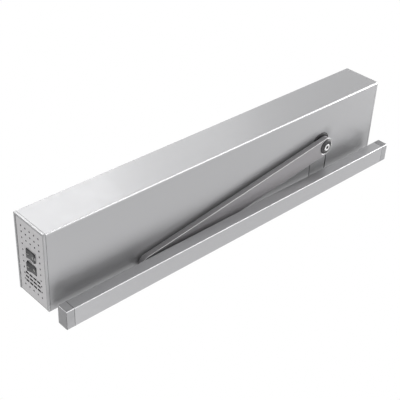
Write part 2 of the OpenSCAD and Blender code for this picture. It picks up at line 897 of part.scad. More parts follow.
// Toothed bar that the spring pinion pushes towards the spring
module rack_bar() {
    root_y = rack_y - dedendum * rack_module;
    teeth_left = floor((spindle_x - rack_x0) / rack_pitch);
    teeth_right = floor((rack_x1 - spindle_x) / rack_pitch);
    color(steel) translate([0, 0, rack_z]) linear_extrude(height = rack_t) polygon([
        [rack_x0, root_y], [rack_x0, rack_back_y], [cup_x, rack_back_y], [cup_x, root_y],
        for (i = [teeth_right - 1:-1:-teeth_left])
            each rack_tooth(spindle_x + (i + 0.5) * rack_pitch)
    ]);
}

spring_y = rack_back_y + (rack_depth - dedendum * rack_module) / 2;
curl_rings = 8;
nub_r = spring_r * cos(180 / curl_rings) - wire_d / 2 - fit_gap;
nub_l = 7;
// Disc with a nub that centres the spring; its seat faces along +X
module spring_seat(t) {
    rotate([0, 90, 0]) {
        cylinder(r = cup_r, h = t);
        cylinder(r = nub_r, h = t + nub_l);
    }
}

module spring_cup() {
    color(zinc) translate([cup_x, spring_y, rack_mid_z]) spring_seat(cup_t);
}

// Helix of the closing spring: close end turns, even turns between them
wire_sides = 6;
end_pitch = wire_d + 0.5;
body_pitch = (spring_len - wire_d - 2 * end_pitch) / (spring_turns - 2);
function spring_run(t) =
    t < 1 ? t * end_pitch
    : t < spring_turns - 1 ? end_pitch + (t - 1) * body_pitch
    : spring_len - wire_d - (spring_turns - t) * end_pitch;
function spring_centre(i) =
    let (t = i / curl_rings, a = t * 360)
    [spring_x0 + wire_d / 2 + spring_run(t), spring_y + spring_r * cos(a),
     rack_mid_z + spring_r * sin(a)];
spring_rings = spring_turns * curl_rings;
spring_gap = min([for (i = [0:spring_rings], j = [i + curl_rings / 2:spring_rings])
    norm(spring_centre(i) - spring_centre(j))]) - wire_d;
echo(least_gap_of_closing_spring = spring_gap);

module closing_spring() {
    points = [for (i = [0:spring_rings], k = [0:wire_sides - 1])
        let (a = i / curl_rings * 360, b = k * 360 / wire_sides, r = wire_d / 2)
        spring_centre(i) + r * [sin(b), cos(b) * cos(a), cos(b) * sin(a)]];
    sides = [for (i = [0:spring_rings - 1], k = [0:wire_sides - 1])
        let (p = i * wire_sides + k, q = i * wire_sides + (k + 1) % wire_sides)
        each [[p, p + wire_sides, q], [q, p + wire_sides, q + wire_sides]]];
    start = [for (k = [1:wire_sides - 2]) [0, k, k + 1]];
    last = spring_rings * wire_sides;
    stop = [for (k = [1:wire_sides - 2]) [last, last + k + 1, last + k]];
    color([0.32, 0.34, 0.37]) polyhedron(points, concat(sides, start, stop));
}

// Bracket on the back plate that takes the spring's load
bracket_foot = 12;
bracket_foot_h = 24;
bracket_margin = 4;
module spring_bracket() {
    h = op_h - 2 * bracket_margin;
    color(steel) {
        translate([bracket_x, spring_y - cup_r, -h / 2])
            cube([bracket_t, -plate_t - spring_y + cup_r, h]);
        translate([bracket_x - bracket_foot, -plate_t - bracket_t, -bracket_foot_h / 2])
            cube([bracket_foot + through / 2, bracket_t, bracket_foot_h]);
        translate([bracket_x + through / 2, spring_y, rack_mid_z]) rotate([0, -90, 0])
            cylinder(r = nub_r, h = nub_l + through / 2);
    }
}

// Two brass guides under the top plate that hold the rack in mesh
guide_len = 14;
guide_t = 9;
module rack_guides() {
    lip = 3;
    color(brass) for (x = [spindle_x - 22, spindle_x + 8]) {
        translate([x, rack_back_y - fit_gap - guide_t, rack_z - fit_gap - lift])
            cube([guide_len, guide_t, top_z - rack_z + fit_gap + lift]);
        translate([x, rack_back_y - fit_gap - through / 2, rack_z - fit_gap - lift])
            cube([guide_len, lip + fit_gap + through / 2, lift]);
    }
}

// Arm outline: two round ends joined by their common tangents
arc_steps = 32;
function arc_points(centre, r, from, to) = [
    for (i = [0:arc_steps])
        let (a = from + (to - from) * i / arc_steps)
        centre + r * [cos(a), sin(a)]
];
module arm_outline() {
    lean = acos((arm_hub_r - arm_tip_r) / arm_len);
    polygon(concat(arc_points([0, 0], arm_hub_r, lean, 360 - lean),
                   arc_points([arm_len, 0], arm_tip_r, -lean, lean)));
}

module swing_arm() {
    color(arm_grey) translate([spindle_x, -spindle_d, arm_bottom_z])
        rotate([0, 0, 180 - arm_angle]) difference() {
            linear_extrude(height = arm_t) arm_outline();
            translate([0, 0, -through]) rotate([0, 0, 45])
                cylinder(r = (square_side + 2 * run_gap) / sqrt(2), h = arm_t + 2 * through,
                         $fn = 4);
            translate([0, 0, -through]) cylinder(r = washer_r + 1, h = recess_depth + through);
            translate([arm_len, 0, -through]) cylinder(r = pin_r + seat_gap,
                                                       h = arm_t + 2 * through);
        }
}

arm_screw_r = 4;
arm_screw_l = 20;
washer_dome = 1.6;
module arm_washer() {
    z = arm_bottom_z + recess_depth;
    seat = washer_t - washer_sunk;
    color(dark) translate([spindle_x, -spindle_d, z]) mirror([0, 0, 1]) rotate_extrude()
        polygon([
            [arm_screw_r + fit_gap, 0], [washer_r, 0], [washer_r, washer_t - washer_dome / 2],
            [washer_r - washer_dome, washer_t], [screw_head_r + washer_dome, washer_t],
            [screw_head_r + fit_gap, seat], [arm_screw_r + fit_gap, seat]
        ]);
}

module arm_screw() {
    seat_z = arm_bottom_z + recess_depth - washer_t + washer_sunk;
    color(silver) translate([spindle_x, -spindle_d, seat_z]) mirror([0, 0, 1])
        screw(arm_screw_r, arm_screw_l, screw_head_r, seat_z - arm_bottom_z + screw_proud, 3);
}

// Pin at the arm's end, with its head above the arm
pin_head_t = 1.5;
block_gap = 0.3;
block_top_z = rail_top_z - rail_wall - block_gap;
block_bottom_z = rail_top_z - rail_h + rail_wall + block_gap;
module arm_pin() {
    color(steel) translate([tip_x, tip_y, 0]) {
        translate([0, 0, block_bottom_z + lift])
            cylinder(r = pin_r, h = arm_top_z - block_bottom_z - lift + pin_head_t / 2);
        translate([0, 0, arm_top_z]) cylinder(r = pin_r + 3, h = pin_head_t);
    }
}

// Plastic block that slides in the rail and turns on the arm's pin
module slide_block() {
    w = rail_d - 2 * rail_wall - 2 * block_gap;
    boss_r = rail_slot / 2 - 2 * block_gap;
    color(dark) translate([tip_x, tip_y, 0]) difference() {
        union() {
            translate([-block_l / 2, -w / 2, block_bottom_z])
                cube([block_l, w, block_top_z - block_bottom_z]);
            translate([0, 0, block_top_z - lift])
                cylinder(r = boss_r, h = rail_top_z - block_top_z + lift);
        }
        translate([0, 0, block_bottom_z - through])
            cylinder(r = pin_r + run_gap, h = rail_h + 2 * through);
    }
}

// Section of the rail: an open channel with its slot towards the arm
rail_edge_r = 1.2;
module rail_outline() {
    w = rail_d;
    h = rail_h;
    for (flip = [0, 1])
        translate([-w / 2 + flip * rail_edge_r, flip ? 0 : rail_edge_r])
            square([w - 2 * flip * rail_edge_r, h - (flip ? 0 : 2 * rail_edge_r)]);
    for (y = [-1, 1], z = [rail_edge_r, h - rail_edge_r])
        translate([y * (w / 2 - rail_edge_r), z]) circle(r = rail_edge_r);
}

module rail_profile() {
    inner_w = rail_d - 2 * rail_wall;
    color(silver) translate([0, rail_mid_y, rail_top_z - rail_h])
        across(rail_x0 + rail_cap_l, rail_len - 2 * rail_cap_l) difference() {
            rail_outline();
            translate([-inner_w / 2, rail_wall]) square([inner_w, rail_h - 2 * rail_wall]);
            translate([-rail_slot / 2, rail_wall]) square([rail_slot, rail_h]);
        }
}

// Cap over the end of the rail, open towards the rail and the door
cap_wall = 1.5;
module rail_cap(x, open_x) {
    color(silver) difference() {
        translate([0, rail_mid_y, rail_top_z - rail_h]) across(x, rail_cap_l) rail_outline();
        translate([open_x, rail_mid_y - rail_d / 2 + cap_wall, rail_top_z - rail_h + cap_wall])
            cube([rail_cap_l, rail_d, rail_h - 2 * cap_wall]);
    }
}

module rail_cap_left() { rail_cap(rail_x0, rail_x0 + cap_wall); }
module rail_cap_right() { rail_cap(rail_x1 - rail_cap_l, rail_x1 - cap_wall - rail_cap_l); }

// Blocks in the rail's ends that take the door screws, hidden by the caps
rail_hole_x = 7.5;
module rail_end_blocks() {
    w = rail_d - 2 * rail_wall - 2 * fit_gap;
    foot_x = cap_wall + fit_gap;
    foot_l = rail_cap_l - foot_x - fit_gap;
    color(zinc) for (side = [0, 1])
        translate([side ? rail_x1 : rail_x0, rail_mid_y, 0]) mirror([side, 0, 0]) difference() {
            union() {
                translate([foot_x, -w / 2, block_bottom_z])
                    cube([rail_cap_l - foot_x + end_block_l, w, block_top_z - block_bottom_z]);
                translate([foot_x, 0, block_bottom_z])
                    cube([foot_l, rail_d / 2, block_top_z - block_bottom_z]);
            }
            translate([rail_hole_x, rail_d / 2 + through, (block_top_z + block_bottom_z) / 2])
                bore_y(rail_hole_d / 2, rail_d + 2 * through);
        }
}

// Switches: outline of a rocker seen from the front, outwards along -X
rocker_pivot = 3.6;
trunnion_r = 1.3;
trunnion_l = 1.2;
rocker_slope = 9;
rocker_dip = 0.6;
rocker_behind = 5;
switch_depth = 19;
switch_wall = 1.8;
module rocker(d, tilt) {
    face = -rocker_pivot - rocker_dip;
    ends = face - rocker_l * tan(rocker_slope);
    translate([panel_x + rocker_pivot, -d, under_z + switch_mid_up]) rotate([0, tilt, 0]) {
        translate([0, rocker_w / 2, 0]) rotate([90, 0, 0])
            linear_extrude(height = rocker_w) intersection() {
                circle(r = rocker_l / 2);
                polygon([
                    [face, 0], [ends, rocker_l], [rocker_behind, rocker_l],
                    [rocker_behind, -rocker_l], [ends, -rocker_l]
                ]);
            }
        translate([0, rocker_w / 2 + trunnion_l, 0])
            bore_y(trunnion_r, rocker_w + 2 * trunnion_l);
    }
}

// Housing of a switch behind the panel, open to the front for its rocker
module switch_body(d) {
    x0 = panel_x + panel_t;
    w = rocker_w + 2 * fit_gap + 2 * switch_wall;
    l = rocker_l + 2 * fit_gap + 2 * switch_wall;
    color(dark) translate([0, -d, under_z + switch_mid_up]) difference() {
        translate([x0, -w / 2, -l / 2]) cube([switch_depth, w, l]);
        translate([x0 - through, -w / 2 + switch_wall, -l / 2 + switch_wall])
            cube([switch_depth - switch_wall + through, w - 2 * switch_wall,
                  l - 2 * switch_wall]);
        translate([panel_x + rocker_pivot, rocker_w / 2 + trunnion_l + fit_gap, 0])
            bore_y(trunnion_r + run_gap, rocker_w + 2 * trunnion_l + 2 * fit_gap);
    }
}

module program_switch_body() { switch_body(program_d); }
module mains_switch_body() { switch_body(mains_d); }
module program_rocker() { color(dark) rocker(program_d, 0); }
module mains_rocker() { color(dark) rocker(mains_d, -mains_turn / 2); }

// Sheet metal case of the power supply, open where its board slides in
supply_d1 = 72;
supply_room = 4.5;
supply_h = op_h - 2 * (cover_wall + supply_room);
supply_wall = 1.2;
module power_supply_case() {
    slot = 4;
    slot_pitch = 10;
    margin = 10;
    slots = floor((supply_l - 2 * margin) / slot_pitch);
    color(zinc) difference() {
        block([supply_x0, -supply_d1, -supply_h / 2], [supply_x1, -plate_t, supply_h / 2]);
        block([supply_x0 + supply_wall, -supply_d1 + supply_wall, -supply_h / 2 + supply_wall],
              [supply_x1 + through, -plate_t - supply_wall, supply_h / 2 - supply_wall]);
        for (i = [0:slots - 1])
            translate([supply_x0 + margin + i * slot_pitch, -supply_d1 - through,
                       -supply_h / 2 + margin])
                cube([slot, supply_wall + 2 * through, supply_h - 2 * margin]);
    }
}

// Board of the power supply on four stands, with its transformer, capacitors and heat sink
board_t = 1.6;
module power_supply_board() {
    stand = 2.4;
    stand_r = 2.5;
    stand_in = 12;
    margin = 4;
    transformer = [34, 35, 32];
    transformer_x = 20;
    sink = [3, 26, 40];
    sink_x = 88;
    capacitor_r = 9;
    capacitor_h = 32;
    capacitor_x = 70;
    x = supply_x0 + supply_wall;
    y = -plate_t - supply_wall;
    front_y = y - stand - board_t;
    half = supply_h / 2 - margin;
    color(board_green) block([x + fit_gap, front_y, -half], [supply_x1 - margin, y - stand, half]);
    color(zinc) {
        for (u = [x + stand_in, supply_x1 - margin - stand_in / 2], side = [-1, 1])
            translate([u, y, side * (half - margin)]) bore_y(stand_r, stand);
        translate([x + sink_x, front_y - sink[1], -sink[2] / 2]) cube(sink);
    }
    color([0.85, 0.75, 0.4])
        translate([x + transformer_x, front_y - transformer[1], -transformer[2] / 2])
            cube(transformer);
    color(dark) for (side = [-1, 1])
        translate([x + capacitor_x, front_y, side * (capacitor_r + lift)])
            bore_y(capacitor_r, capacitor_h);
}

// Plastic tray on four feet that carries the control board
module control_tray() {
    color([0.55, 0.57, 0.6]) {
        difference() {
            union() {
                block([tray_x0, tray_y - tray_t, -tray_h / 2], [tray_x1, tray_y, tray_h / 2]);
                for (z = [-tray_h / 2, tray_h / 2 - 2])
                    translate([tray_x0, tray_y - tray_t - tray_rim, z])
                        cube([tray_x1 - tray_x0, tray_rim + through / 2, 2]);
                board_screw_places() translate([0, board_stand + through / 2, 0])
                    bore_y(3, board_stand + through / 2);
                tray_foot_places(-plate_t) bore_y(foot_r, -tray_y - plate_t + through / 2);
            }
            tray_foot_places(through) bore_y(foot_screw_r + seat_gap, op_depth);
            board_screw_places() translate([0, board_stand + tray_t + through, 0])
                bore_y(foot_screw_r + seat_gap, board_stand + tray_t + 2 * through);
        }
    }
}

board_stand = 3;
board_y = tray_y - tray_t - board_stand;
board_front_y = board_y - board_t;
board_in = 6;
board_margin = 5;
board_h = tray_h - 2 * board_margin;
module control_board() {
    color(board_green) difference() {
        block([tray_x0 + board_in, board_front_y, -board_h / 2],
              [tray_x1 - board_in, board_y, board_h / 2]);
        board_screw_places() translate([0, through, 0])
            bore_y(foot_screw_r + fit_gap, board_t + 2 * through);
    }
}

board_screw_in = 6;
board_screw_edge = 5;
module board_screw_places() {
    for (x = [tray_x0 + board_in + board_screw_in, tray_x1 - board_in - board_screw_in],
         z = [-1, 1])
        translate([x, board_y, z * (board_h / 2 - board_screw_edge)]) children();
}

// Box that stands on the control board; its place is measured along the tray and up
module board_box(x, z, size) {
    translate([tray_x0 + x, board_front_y - size[1], z]) cube(size);
}

// Relays, processor, capacitors, transformer, fuses and sockets on the control board
terminal_in = 20;
terminal_pole = 5;
terminal_h = 9;
module board_parts() {
    relay = [18, 16, 16];
    fuse = [18, 8, 6];
    chip = [16, 2, 16];
    socket = [20, 9, 6];
    transformer = [34, 24, 15];
    capacitor_r = 6;
    capacitor_h = 22;
    part_gap = 2;
    row_gap = 4;
    low_z = -board_h / 2 + lift + terminal_h + part_gap;
    relay_z = low_z + fuse[2] + row_gap;
    chip_x = terminal_in + 3 * (relay[0] + part_gap) + row_gap;
    transformer_x = chip_x + chip[0] + row_gap + part_gap;
    capacitor_x = transformer_x + capacitor_r - part_gap;
    capacitor_z = low_z + transformer[2] + part_gap + capacitor_r;
    color([0.12, 0.3, 0.6]) for (i = [0:2])
        board_box(terminal_in + i * (relay[0] + part_gap), relay_z, relay);
    color(dark) {
        board_box(chip_x, low_z, chip);
        board_box(transformer_x, low_z, transformer);
        for (i = [0:2])
            translate([tray_x0 + capacitor_x + i * (2 * capacitor_r + part_gap),
                       board_front_y, capacitor_z])
                bore_y(capacitor_r, capacitor_h);
    }
    color([0.9, 0.9, 0.86]) {
        for (i = [0:2]) board_box(terminal_in + i * (fuse[0] + part_gap), low_z, fuse);
        board_box(chip_x, low_z + chip[2] + row_gap, socket);
    }
}

// Row of terminals with a screw hole in each pole; its back and lower left corner is the origin
module terminal_row(poles, pole, size, hole_z, hole_r, hole_l) {
    difference() {
        translate([0, -size[1], 0]) cube([poles * pole, size[1], size[0]]);
        for (i = [0:poles - 1], z = hole_z)
            translate([(i + 0.5) * pole, -size[1] + hole_l, z]) bore_y(hole_r, hole_l + through);
    }
}

// Plug-in terminals along the lower edge of the control board
module terminal_blocks() {
    poles = floor((tray_l - 2 * terminal_in) / terminal_pole);
    color([0.16, 0.5, 0.3])
        translate([tray_x0 + terminal_in, board_front_y, -board_h / 2 + lift])
            terminal_row(poles, terminal_pole, [terminal_h, 11], [5], 1.5, 3);
}

// Terminals on the back plate for the mains cable, beside the cable inlet
mains_terminal_x = 40;
mains_pole = 9;
mains_poles = 3;
module mains_terminal() {
    color([0.9, 0.9, 0.88])
        translate([left_x + inlet_x + mains_terminal_x, -plate_t, mains_poles * mains_pole / 2])
            rotate([0, 90, 0]) terminal_row(mains_poles, mains_pole, [22, 18], [5, 17], 2.4, 6);
}

module case_screws() {
    color(steel) {
        flange_places() translate([0, -lug_t, 0]) rotate([90, 0, 0])
            screw(flange_screw_r, lug_t + plate_t - fit_gap, 4.5, 3, 2);
        tall_post_places() translate([0, 0, top_z + case_t])
            screw(post_screw_r, case_t + 8, 3.5, 2.4, 1.5);
        short_post_places() translate([0, 0, motor_z])
            screw(post_screw_r, motor_plate_t + 6, 3, 2, 1.5);
    }
}

module cap_screws() {
    color(steel) lug_places() translate([0, -lug_t, 0]) rotate([90, 0, 0])
        screw(lug_screw_r, lug_t + plate_t - fit_gap, 3.5, 2.4, 1.5);
}

module board_screws() {
    color(steel) {
        tray_foot_places(tray_y - tray_t) rotate([90, 0, 0])
            screw(foot_screw_r, -tray_y + tray_t - fit_gap, 3, 1.8, 1.2);
        board_screw_places() translate([0, -board_t, 0]) rotate([90, 0, 0])
            screw(foot_screw_r, board_t + board_stand + tray_t, 2.6, 1.6, 1.1);
    }
}

back_plate();
cover();
left_end_cap();
vent_panel();
right_end_cap();
slot_insert();
spindle_surround();
gear_base_plate();
motor_plate();
gear_top_plate();
case_posts();
spindle_bearings();
gear_bearings();
motor_can();
motor_magnets();
encoder_cover();
spring_bracket();
rack_guides();
closing_spring();
power_supply_case();
power_supply_board();
control_tray();
control_board();
board_parts();
terminal_blocks();
mains_terminal();
program_switch_body();
mains_switch_body();
case_screws();
cap_screws();
board_screws();
spindle();
spindle_spacer();
drive_gear();
spring_pinion();
swing_arm();
arm_washer();
arm_screw();
arm_pin();
second_shaft();
second_gear();
second_pinion();
first_shaft();
first_gear();
first_pinion();
motor_shaft();
motor_rotor();
motor_pinion();
encoder_disc();
rack_bar();
spring_cup();
slide_block();
rail_profile();
rail_cap_left();
rail_cap_right();
rail_end_blocks();
program_rocker();
mains_rocker();
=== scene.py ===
# Looks of the swing door operator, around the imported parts
import json
import math

import bmesh
import bpy
from mathutils import Matrix, Vector
from mathutils.bvhtree import BVHTree

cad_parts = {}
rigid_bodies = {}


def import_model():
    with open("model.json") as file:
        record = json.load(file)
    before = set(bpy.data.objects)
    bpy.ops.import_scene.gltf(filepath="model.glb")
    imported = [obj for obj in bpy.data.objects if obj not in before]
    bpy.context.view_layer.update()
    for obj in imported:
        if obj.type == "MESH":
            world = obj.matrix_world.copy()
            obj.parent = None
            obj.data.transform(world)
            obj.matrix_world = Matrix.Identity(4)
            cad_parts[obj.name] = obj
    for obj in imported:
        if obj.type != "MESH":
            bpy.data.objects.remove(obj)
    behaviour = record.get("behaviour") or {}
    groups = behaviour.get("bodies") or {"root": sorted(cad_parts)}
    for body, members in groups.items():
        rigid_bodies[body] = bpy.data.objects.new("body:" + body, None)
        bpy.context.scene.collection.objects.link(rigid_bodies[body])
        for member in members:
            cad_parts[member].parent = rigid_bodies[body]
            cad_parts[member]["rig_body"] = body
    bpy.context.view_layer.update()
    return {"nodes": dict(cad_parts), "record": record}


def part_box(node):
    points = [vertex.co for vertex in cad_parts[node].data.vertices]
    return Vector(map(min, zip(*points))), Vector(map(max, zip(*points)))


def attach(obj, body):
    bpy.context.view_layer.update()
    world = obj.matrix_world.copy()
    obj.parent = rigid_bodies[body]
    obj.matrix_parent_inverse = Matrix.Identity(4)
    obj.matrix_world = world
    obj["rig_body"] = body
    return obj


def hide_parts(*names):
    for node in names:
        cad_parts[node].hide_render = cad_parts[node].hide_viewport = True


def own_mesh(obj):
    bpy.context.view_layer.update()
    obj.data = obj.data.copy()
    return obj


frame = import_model()
MM = 0.001
scene = bpy.context.scene


# Shader building blocks
EVEN = (1, 1, 1)
WHITE = (1, 1, 1, 1)
NOISE_LOW, NOISE_HIGH = 0.3, 0.7


def shader(name, colour, roughness, metallic=0.0, coat=0.0):
    """New material with its Principled shader's plain values set; returns both and its tree."""
    material = bpy.data.materials.new(name)
    material.use_nodes = True
    tree = material.node_tree
    bsdf = tree.nodes["Principled BSDF"]
    bsdf.inputs["Base Color"].default_value = (*colour, 1)
    bsdf.inputs["Roughness"].default_value = roughness
    bsdf.inputs["Metallic"].default_value = metallic
    bsdf.inputs["Coat Weight"].default_value = coat
    return material, tree, bsdf


def noise(tree, scale, detail=3, stretch=EVEN):
    """Noise in object coordinates, in cycles per metre, stretched along the axes."""
    place = tree.nodes.new("ShaderNodeTexCoord")
    mapping = tree.nodes.new("ShaderNodeMapping")
    mapping.inputs["Scale"].default_value = stretch
    tree.links.new(place.outputs["Object"], mapping.inputs["Vector"])
    texture = tree.nodes.new("ShaderNodeTexNoise")
    texture.inputs["Scale"].default_value = scale
    texture.inputs["Detail"].default_value = detail
    tree.links.new(mapping.outputs["Vector"], texture.inputs["Vector"])
    return texture.outputs["Fac"]


def spread(tree, value, low, high):
    """Maps a noise value onto the range from low to high."""
    node = tree.nodes.new("ShaderNodeMapRange")
    node.inputs["From Min"].default_value = NOISE_LOW
    node.inputs["From Max"].default_value = NOISE_HIGH
    node.inputs["To Min"].default_value = low
    node.inputs["To Max"].default_value = high
    tree.links.new(value, node.inputs["Value"])
    return node.outputs["Result"]


def shade(tree, value, colour, change):
    """Colour that varies with a noise value by the given share."""
    ramp = tree.nodes.new("ShaderNodeValToRGB")
    dark, light = ramp.color_ramp.elements
    dark.position, light.position = NOISE_LOW, NOISE_HIGH
    dark.color = (*[part * (1 - change) for part in colour], 1)
    light.color = (*[min(1, part * (1 + change)) for part in colour], 1)
    tree.links.new(value, ramp.inputs["Fac"])
    return ramp.outputs["Color"]


def bump(tree, bsdf, value, depth):
    """Bump of a real depth in mm."""
    node = tree.nodes.new("ShaderNodeBump")
    node.inputs["Strength"].default_value = 1.0
    node.inputs["Distance"].default_value = depth * MM
    tree.links.new(value, node.inputs["Height"])
    tree.links.new(node.outputs["Normal"], bsdf.inputs["Normal"])


def reckon(tree, operation, first, second):
    """Result of a Math node whose inputs are sockets or plain numbers."""
    node = tree.nodes.new("ShaderNodeMath")
    node.operation = operation
    for socket, value in zip(node.inputs, (first, second)):
        if isinstance(value, (int, float)):
            socket.default_value = value
        else:
            tree.links.new(value, socket)
    return node.outputs["Value"]


# Recipes: metal and coat shares, and for colour, roughness and bump a noise (cycles per metre,
# detail, stretch) with its effect: a share, a change down and up, and a depth in mm
DRAWN = (2500, 4, (0.02, 1, 1))
COAT_ROUGHNESS = 0.16
RECIPES = {
    # Silver powder coat with a fine orange peel and a little metal flake
    "powder_coat": (0.28, 0.28, (6000, 2), 0.04, (90,), (-0.03, 0.03), (900, 2), 0.02),
    # Drawn metal with fine lines along X
    "brushed": (0.6, 0, DRAWN, 0.05, DRAWN, (-0.05, 0.06), DRAWN, 0.01),
    # Plastic with the fine grain of its mould
    "moulded": (0, 0, (60,), 0.06, (1500, 2), (-0.05, 0.07), (1500, 2), 0.03),
    # Plastic with a coarser, glossier grain
    "switch": (0, 0, (60,), 0.06, (700, 2), (-0.05, 0.07), (700, 2), 0.03),
    # Rounded edge of a silver piece: a smoother, more metallic finish, with a lighter colour that
    # is a painted highlight
    "edge_highlight": (0.85, 0, (260,), 0.03, (1200, 2), (-0.05, 0.05), (1800, 2), 0.006),
    # Turned or milled steel with faint marks and stains
    "machined": (1, 0, (140, 4), 0.1, (3000, 2), (-0.07, 0.09), (2200, 3, (1, 1, 0.1)), 0.008),
}


def finish(name, recipe, colour, roughness):
    """New material after a recipe, with its own colour and roughness."""
    metallic, coat, tone, share, gloss, change, relief, depth = RECIPES[recipe]
    material, tree, bsdf = shader(name, colour, roughness, metallic, coat)
    if coat:
        bsdf.inputs["Coat Roughness"].default_value = COAT_ROUGHNESS
    tree.links.new(shade(tree, noise(tree, *tone), colour, share), bsdf.inputs["Base Color"])
    down, up = change
    tree.links.new(spread(tree, noise(tree, *gloss), roughness + down, roughness + up),
                   bsdf.inputs["Roughness"])
    bump(tree, bsdf, noise(tree, *relief), depth)
    return material


LOOKS = {
    "cover_silver": ("powder_coat", (0.445, 0.445, 0.455), 0.34),
    "panel_silver": ("powder_coat", (0.64, 0.63, 0.64), 0.34),
    "rail_silver": ("brushed", (0.46, 0.46, 0.47), 0.34),
    "arm_silver": ("powder_coat", (0.29, 0.28, 0.29), 0.34),
    "bright_steel": ("machined", (0.78, 0.78, 0.78), 0.22),
    "black_steel": ("moulded", (0.022, 0.02, 0.022), 0.34),
    "black_plastic": ("moulded", (0.022, 0.02, 0.022), 0.5),
    "switch_black": ("switch", (0.025, 0.025, 0.028), 0.3),
    "grey_plastic": ("moulded", (0.46, 0.46, 0.47), 0.5),
    "light_plastic": ("moulded", (0.72, 0.72, 0.68), 0.45),
    "slide_plastic": ("moulded", (0.03, 0.03, 0.032), 0.4),
    "zinc_steel": ("machined", (0.62, 0.64, 0.63), 0.36),
    "plain_steel": ("machined", (0.5, 0.5, 0.51), 0.33),
    "spring_steel": ("machined", (0.2, 0.21, 0.23), 0.35),
    "bronze": ("machined", (0.66, 0.42, 0.17), 0.3),
    "magnet": ("machined", (0.16, 0.16, 0.17), 0.5),
    "circuit_board": ("moulded", (0.012, 0.11, 0.04), 0.35),
}
MATERIALS = {name: finish(name, *look) for name, look in LOOKS.items()}

# Finishes of single faces by material slot: painted shade in seams, gaps and holes, the rail caps,
# and painted highlights on rounded edges
PAINTED_SHADE_FINISH = finish("painted_shade", "moulded", (0.03, 0.03, 0.03), 0.7)
CAP_FINISH = finish("cap_silver", "moulded", (0.40, 0.40, 0.41), 0.42)
FACE_FINISHES = {"rail_cap_left": CAP_FINISH, "rail_cap_right": CAP_FINISH}
# Edge finishes by slot: their lighter colours are a painted highlight; grey plastic keeps its own
# finish and gets only painted shade in its seams
EDGE_FINISHES = {
    "panel_silver": finish("panel_edge", "edge_highlight", (0.6, 0.6, 0.61), 0.35),
    "cover_silver": finish("cover_edge", "edge_highlight", (0.76, 0.76, 0.77), 0.2),
    "rail_silver": finish("rail_edge", "edge_highlight", (0.76, 0.76, 0.77), 0.2),
    "arm_silver": finish("arm_edge", "edge_highlight", (0.6, 0.6, 0.6), 0.3),
    "grey_plastic": MATERIALS["grey_plastic"],
}

node_slots = {part["node"]: part["material_slot"] for part in frame["record"]["subparts"]}


def paint(piece, slot):
    """Gives a piece one material slot's finish."""
    piece.data.materials.clear()
    piece.data.materials.append(MATERIALS[slot])


for node_name, node_object in frame["nodes"].items():
    paint(node_object, node_slots[node_name])


# The end panel's colour is darkened along its outline: painted shade where its rim shades it
PANEL_BORDER = 1.2
PANEL_SHADE = (0.09, 0.09, 0.09)
MIX_A, MIX_B, MIX_RESULT = 6, 7, 2


def shaded_border(material, low, high, width, colour):
    """Paints shade into a sheet's colour within a width of its outline in Y and Z."""
    tree = material.node_tree
    place = tree.nodes.new("ShaderNodeTexCoord")
    parts = tree.nodes.new("ShaderNodeSeparateXYZ")
    tree.links.new(place.outputs["Object"], parts.inputs["Vector"])
    inside = 1
    for axis, k in (("Y", 1), ("Z", 2)):
        above = reckon(tree, "GREATER_THAN", parts.outputs[axis], low[k] + width)
        below = reckon(tree, "LESS_THAN", parts.outputs[axis], high[k] - width)
        inside = reckon(tree, "MULTIPLY", inside, reckon(tree, "MULTIPLY", above, below))
    mix = tree.nodes.new("ShaderNodeMix")
    mix.data_type = "RGBA"
    base = tree.nodes["Principled BSDF"].inputs["Base Color"]
    tree.links.new(inside, mix.inputs["Factor"])
    mix.inputs[MIX_A].default_value = (*colour, 1)
    tree.links.new(base.links[0].from_socket, mix.inputs[MIX_B])
    tree.links.new(mix.outputs[MIX_RESULT], base)


shaded_border(MATERIALS["panel_silver"], *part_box("vent_panel"), PANEL_BORDER * MM, PANEL_SHADE)


# Pieces with broken edges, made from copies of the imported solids; the widths are in mm
EDGES = {
    "cover": 0.45,
    "left_end_cap": 0.8,
    "right_end_cap": 0.6,
    "vent_panel": 0,
    "slot_insert": 0.3,
    "swing_arm": 0.7,
    "arm_screw": 0.25,
    "arm_pin": 0.3,
    "rail_profile": 0.35,
    "rail_cap_left": 0.7,
    "rail_cap_right": 0.7,
    "program_rocker": 0,
    "mains_rocker": 0,
    "slide_block": 0.6,
    "closing_spring": 0,
}
FLAT_ANGLE = math.radians(2)
EDGE_ANGLE = math.radians(28)
SHARP_ANGLE = math.radians(40)
EDGE_SEGMENTS = 3
WELD = 0.002

# Painted shade in seams: at which X end of a piece, and how wide in mm
SEAMS = {
    "cover": ("low", 0.5),
    "rail_profile": ("both", 0.4),
    "rail_cap_left": ("high", 0.75),
    "rail_cap_right": ("low", 0.75),
}
# Face finishes: plain, painted highlight, painted shade
PLAIN, BRIGHT, DARK = 0, 1, 2
TILTED = math.sin(math.radians(8))
WALL_TILT = 0.5
HOLE_INSET = 0.2
RIM_DEPTH = 3
RIM_INSIDE = 2
SLOT_SIDE = 3
FRONT_EDGE = 3


